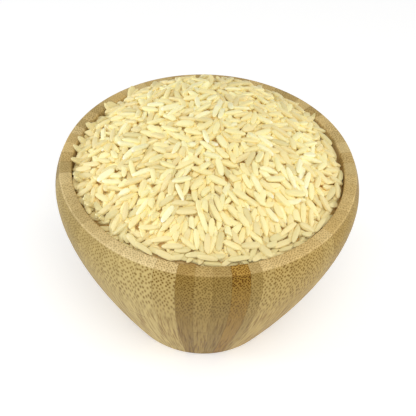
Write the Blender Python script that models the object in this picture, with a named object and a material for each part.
"""A small bamboo bowl, turned from glued staves, filled with raw long-grain rice that is heaped above the rim.

The origin is the middle of the flat base. +Z is up, -Y is the front. All sizes are in metres.
"""

import math
import random

import bmesh
import bpy
from mathutils import Matrix, Vector
from mathutils.geometry import delaunay_2d_cdt

# Bowl, outside
HEIGHT = 0.0736
BASE_RADIUS = 0.0311
BASE_EDGE_ROUND = 0.0016
FOOT_SLOPE = math.radians(62.8)
FOOT_STRAIGHTNESS = 0.0120
BELLY_RADIUS = 0.0550
BELLY_HEIGHT = 0.0654
BELLY_STRAIGHTNESS = 0.0170
RIM_RADIUS = 0.0532
RIM_OUTER_ROUND = 0.0007
STAVES = 56

# Bowl, inside
MOUTH_RADIUS = 0.0488
MOUTH_DEPTH = 0.0090
RIM_INNER_ROUND = 0.0005
FLOOR_THICKNESS = 0.0085
WALL_STRAIGHTNESS = 0.0240
FLOOR_FLATNESS = 0.0300

# Heap, from its peak to its edge at the wall
HEAP_RISE = 0.0134
HEAP_ROUNDNESS = 2.3
DROP_FRONT = 0.0010
DROP_BACK = -0.0012
DROP_LEFT = 0.0032
DROP_RIGHT = 0.0026
WAVE_HEIGHT = 0.0005
WAVE_LENGTH = 0.0480
HOLLOW_X = 0.0015
HOLLOW_Y = -0.0230
HOLLOW_RADIUS = 0.0060
HOLLOW_DEPTH = 0.0014

# Body of the rice, under the grains
CONTACT_GAP = 0.0003
CORE_SIDES = STAVES // 2
CORE_DEPTH = 0.0014
CORE_BUMPS = 260
CORE_BUMP_HEIGHT = 0.00028

# Grains
GRAIN_COUNT = 215
GRAIN_LENGTH = 0.0066
GRAIN_LENGTH_SPREAD = 0.0009
GRAIN_WIDTH = 0.0021
GRAIN_THICKNESS = 0.0018
GRAIN_SIDES = 6
GRAIN_SHOULDER = 0.60
GRAIN_FAN = math.radians(40)
GRAIN_TILT = math.radians(12)
GRAIN_STAND = 0.0005
GRAIN_STEP_INWARD = 0.0005

SEED = 7
GOLDEN_ANGLE = math.pi * (3 - math.sqrt(5))


def clear_scene():
    """Removes every object, so that the script can run again in an open file."""
    for thing in list(bpy.data.objects):
        bpy.data.objects.remove(thing)


def make_material(name, colour, roughness):
    """A plain non-metallic finish."""
    material = bpy.data.materials.new(name)
    material.use_nodes = True
    shader = material.node_tree.nodes["Principled BSDF"]
    shader.inputs["Base Color"].default_value = (*colour, 1.0)
    shader.inputs["Roughness"].default_value = roughness
    shader.inputs["Metallic"].default_value = 0.0
    return material


def add_object(name, shape, material, collection):
    """Turns a bmesh into a named object."""
    mesh = bpy.data.meshes.new(name)
    shape.to_mesh(mesh)
    shape.free()
    mesh.materials.append(material)
    thing = bpy.data.objects.new(name, mesh)
    collection.objects.link(thing)
    return thing


def arc(centre, radius, start, end, steps):
    """Points of a circular arc in the (radius, height) plane, its angles in radians from the radius axis."""
    angles = [start + (end - start) * step / steps for step in range(steps + 1)]
    return [(centre[0] + radius * math.cos(a), centre[1] + radius * math.sin(a)) for a in angles]


def bezier(corners, steps):
    """Points of one cubic Bezier curve in the (radius, height) plane."""
    points = []
    for step in range(steps + 1):
        t = step / steps
        weights = ((1 - t) ** 3, 3 * t * (1 - t) ** 2, 3 * t * t * (1 - t), t ** 3)
        points.append(tuple(sum(w * corner[axis] for w, corner in zip(weights, corners)) for axis in (0, 1)))
    return points


def outer_profile():
    """The outside, from the middle of the base up to the flat of the rim."""
    edge_centre = (BASE_RADIUS - BASE_EDGE_ROUND, BASE_EDGE_ROUND)
    base_edge = arc(edge_centre, BASE_EDGE_ROUND, -math.pi / 2, FOOT_SLOPE - math.pi / 2, 2)
    foot = base_edge[-1]
    above_foot = (
        foot[0] + FOOT_STRAIGHTNESS * math.cos(FOOT_SLOPE),
        foot[1] + FOOT_STRAIGHTNESS * math.sin(FOOT_SLOPE),
    )
    below_belly = (BELLY_RADIUS, BELLY_HEIGHT - BELLY_STRAIGHTNESS)
    wall = bezier((foot, above_foot, below_belly, (BELLY_RADIUS, BELLY_HEIGHT)), 7)
    rise = HEIGHT - RIM_OUTER_ROUND - BELLY_HEIGHT
    draw_in = BELLY_RADIUS - RIM_RADIUS
    bend = (rise ** 2 + draw_in ** 2) / (2 * draw_in)
    shoulder = arc((BELLY_RADIUS - bend, BELLY_HEIGHT), bend, 0, math.asin(rise / bend), 2)
    rim_centre = (RIM_RADIUS - RIM_OUTER_ROUND, HEIGHT - RIM_OUTER_ROUND)
    rim_edge = arc(rim_centre, RIM_OUTER_ROUND, 0, math.pi / 2, 2)
    return [(0.0, 0.0)] + base_edge + wall[1:] + shoulder[1:] + rim_edge[1:]


def inner_profile():
    """The inside, from the flat of the rim down to the middle of the floor."""
    rim_centre = (MOUTH_RADIUS + RIM_INNER_ROUND, HEIGHT - RIM_INNER_ROUND)
    rim_edge = arc(rim_centre, RIM_INNER_ROUND, math.pi / 2, math.pi, 2)
    below_mouth = (MOUTH_RADIUS, HEIGHT - MOUTH_DEPTH)
    lower_wall = (MOUTH_RADIUS, HEIGHT - MOUTH_DEPTH - WALL_STRAIGHTNESS)
    floor_edge = (FLOOR_FLATNESS, FLOOR_THICKNESS)
    return rim_edge + bezier((below_mouth, lower_wall, floor_edge, (0.0, FLOOR_THICKNESS)), 7)


def turn(profile, sides):
    """A shape of revolution about Z. It is closed where both ends of its profile lie on the axis."""
    turned = bmesh.new()
    ring = [turned.verts.new((radius, 0.0, height)) for radius, height in profile]
    for lower, upper in zip(ring, ring[1:]):
        turned.edges.new((lower, upper))
    bmesh.ops.spin(
        turned,
        geom=turned.verts[:] + turned.edges[:],
        cent=(0, 0, 0),
        axis=(0, 0, 1),
        angle=2 * math.pi,
        steps=sides,
        use_merge=True,
    )
    bmesh.ops.remove_doubles(turned, verts=turned.verts, dist=1e-6)
    bmesh.ops.recalc_face_normals(turned, faces=turned.faces)
    return turned


def make_bowl(material):
    """The bowl, one closed shape. Its outside has one flat for each stave."""
    turned = turn(outer_profile() + inner_profile(), STAVES)
    bowl = add_object("bowl", turned, material, bpy.context.scene.collection)
    bowl.data.shade_smooth()
    bowl.data.set_sharp_from_angle(angle=math.radians(35))
    return bowl


def mouth_radius_at(height):
    """The radius of the inside of the bowl at a height near the rim."""
    profile = inner_profile()
    for (upper_r, upper_z), (lower_r, lower_z) in zip(profile, profile[1:]):
        if lower_z <= height < upper_z:
            return lower_r + (upper_r - lower_r) * (height - lower_z) / (upper_z - lower_z)
    return RIM_RADIUS


def heap_height(x, y):
    """The height of the outside of the heap over a point: a dome with low waves, a hollow and an uneven edge."""
    out = min(1.0, math.hypot(x, y) / MOUTH_RADIUS)
    angle = math.atan2(x, -y)
    front = math.cos(angle) * abs(math.cos(angle))
    right = math.sin(angle) * abs(math.sin(angle))
    drop = max(front, 0) * DROP_FRONT + max(-front, 0) * DROP_BACK
    drop += max(right, 0) * DROP_RIGHT + max(-right, 0) * DROP_LEFT
    turn_x = math.tau * x / WAVE_LENGTH
    turn_y = math.tau * y / WAVE_LENGTH
    wave = WAVE_HEIGHT * (math.sin(turn_x + 1) * math.cos(turn_y) + math.sin(0.6 * (turn_x + turn_y)))
    from_hollow = math.hypot(x - HOLLOW_X, y - HOLLOW_Y) / HOLLOW_RADIUS
    wave -= HOLLOW_DEPTH * math.exp(-(from_hollow ** 2))
    return HEIGHT + HEAP_RISE * (1 - out ** HEAP_ROUNDNESS) - drop * out ** 2 + wave * (1 - out ** 4)


def heap_normal(x, y):
    """The direction straight out of the heap over a point."""
    step = 0.0005
    slope_x = (heap_height(x + step, y) - heap_height(x - step, y)) / (2 * step)
    slope_y = (heap_height(x, y + step) - heap_height(x, y - step)) / (2 * step)
    return Vector((-slope_x, -slope_y, 1.0)).normalized()


def spiral(count, radius):
    """Points spread evenly over a disc, as seeds are in a sunflower."""
    outs = [radius * math.sqrt((number + 0.5) / count) for number in range(count)]
    return [(out, number * GOLDEN_ANGLE) for number, out in enumerate(outs)]


def make_rice_core(material, draw):
    """The body of the rice: it fills the bowl up to the wall, and its top is the heap, bumpy and a little low."""
    inside = [(radius, height) for radius, height in inner_profile() if height <= HEIGHT - MOUTH_DEPTH]
    wall = [(radius - CONTACT_GAP, height + CONTACT_GAP) for radius, height in inside[:-1]]
    edge_radius = MOUTH_RADIUS - CONTACT_GAP
    cup = [(edge_radius, HEIGHT)] + wall + [(0.0, FLOOR_THICKNESS + CONTACT_GAP)]
    core = turn(cup, CORE_SIDES)
    corners = [vert for vert in core.verts if vert.co.z > HEIGHT - CONTACT_GAP]
    corners.sort(key=lambda vert: math.atan2(vert.co.y, vert.co.x))
    for vert in corners:
        vert.co.z = heap_height(vert.co.x, vert.co.y) - CORE_DEPTH
    bumps = []
    for out, angle in spiral(CORE_BUMPS, 0.97 * edge_radius):
        x = out * math.cos(angle)
        y = out * math.sin(angle)
        bump = draw.uniform(-CORE_BUMP_HEIGHT, CORE_BUMP_HEIGHT)
        bumps.append(core.verts.new((x, y, heap_height(x, y) - CORE_DEPTH + bump)))
    top = corners + bumps
    rim = [(number, (number + 1) % len(corners)) for number in range(len(corners))]
    triangles = delaunay_2d_cdt([vert.co.xy for vert in top], rim, [], 0, 1e-7)[2]
    for triangle in triangles:
        core.faces.new([top[number] for number in triangle])
    bmesh.ops.recalc_face_normals(core, faces=core.faces)
    return add_object("rice", core, material, bpy.context.scene.collection)


def grain_shape(length):
    """One grain along X: a blunt spindle with few sides."""
    grain = bmesh.new()
    bmesh.ops.create_uvsphere(grain, u_segments=GRAIN_SIDES, v_segments=3, radius=1.0)
    bmesh.ops.rotate(grain, verts=grain.verts, cent=(0, 0, 0), matrix=Matrix.Rotation(math.pi / 2, 3, "Y"))
    for vert in grain.verts:
        around = math.hypot(vert.co.y, vert.co.z)
        if around > 0.1:
            vert.co = Vector((math.copysign(GRAIN_SHOULDER, vert.co.x), vert.co.y / around, vert.co.z / around))
    bmesh.ops.scale(grain, verts=grain.verts, vec=(length / 2, GRAIN_WIDTH / 2, GRAIN_THICKNESS / 2))
    return grain


def grain_place(out, angle, yaw, pitch):
    """The placing of a grain that lies on the heap, turned by yaw and tipped up by pitch."""
    x = out * math.cos(angle)
    y = out * math.sin(angle)
    up = heap_normal(x, y)
    level = Vector((math.cos(yaw), math.sin(yaw), 0.0))
    along = (level - level.dot(up) * up).normalized() * math.cos(pitch) + up * math.sin(pitch)
    across = up.cross(along).normalized()
    place = Matrix((along, across, along.cross(across))).transposed().to_4x4()
    place.translation = Vector((x, y, heap_height(x, y) - CORE_DEPTH)) + up * GRAIN_STAND
    return place


def clears_bowl(grain):
    """True if the corners of a grain and the middles of its edges are clear of the bowl's wall and rim."""
    points = [vert.co for vert in grain.verts]
    points += [(edge.verts[0].co + edge.verts[1].co) / 2 for edge in grain.edges]
    for point in points:
        room = mouth_radius_at(point.z - CONTACT_GAP) - 2 * CONTACT_GAP
        if math.hypot(point.x, point.y) > room:
            return False
    return True


def make_grains(material, draw):
    """Grains spread evenly over the heap. Most lie down the slope. One that would cross the bowl moves inward."""
    grains = bpy.data.collections.new("grains")
    bpy.context.scene.collection.children.link(grains)
    for out, angle in spiral(GRAIN_COUNT, MOUTH_RADIUS - GRAIN_WIDTH / 2):
        length = GRAIN_LENGTH + draw.uniform(-GRAIN_LENGTH_SPREAD, GRAIN_LENGTH_SPREAD)
        yaw = angle + draw.gauss(0, GRAIN_FAN)
        pitch = draw.uniform(-GRAIN_TILT, GRAIN_TILT)
        grain = None
        while grain is None:
            grain = grain_shape(length)
            bmesh.ops.transform(grain, matrix=grain_place(out, angle, yaw, pitch), verts=grain.verts)
            if not clears_bowl(grain):
                grain.free()
                grain = None
                out -= GRAIN_STEP_INWARD
        add_object("grain", grain, material, grains)
    return grains


def fuse(core, grains):
    """Joins the closed shapes of a collection to the core and removes them."""
    union = core.modifiers.new("fuse", "BOOLEAN")
    union.operation = "UNION"
    union.operand_type = "COLLECTION"
    union.collection = grains
    union.solver = "EXACT"
    bpy.context.view_layer.objects.active = core
    bpy.ops.object.modifier_apply(modifier=union.name)
    for thing in list(grains.objects):
        bpy.data.objects.remove(thing)
    bpy.data.collections.remove(grains)


def main():
    clear_scene()
    bamboo = make_material("oiled_bamboo", (0.46, 0.31, 0.15), 0.45)
    raw_rice = make_material("raw_rice", (0.84, 0.74, 0.46), 0.35)
    draw = random.Random(SEED)
    make_bowl(bamboo)
    rice = make_rice_core(raw_rice, draw)
    fuse(rice, make_grains(raw_rice, draw))


main()
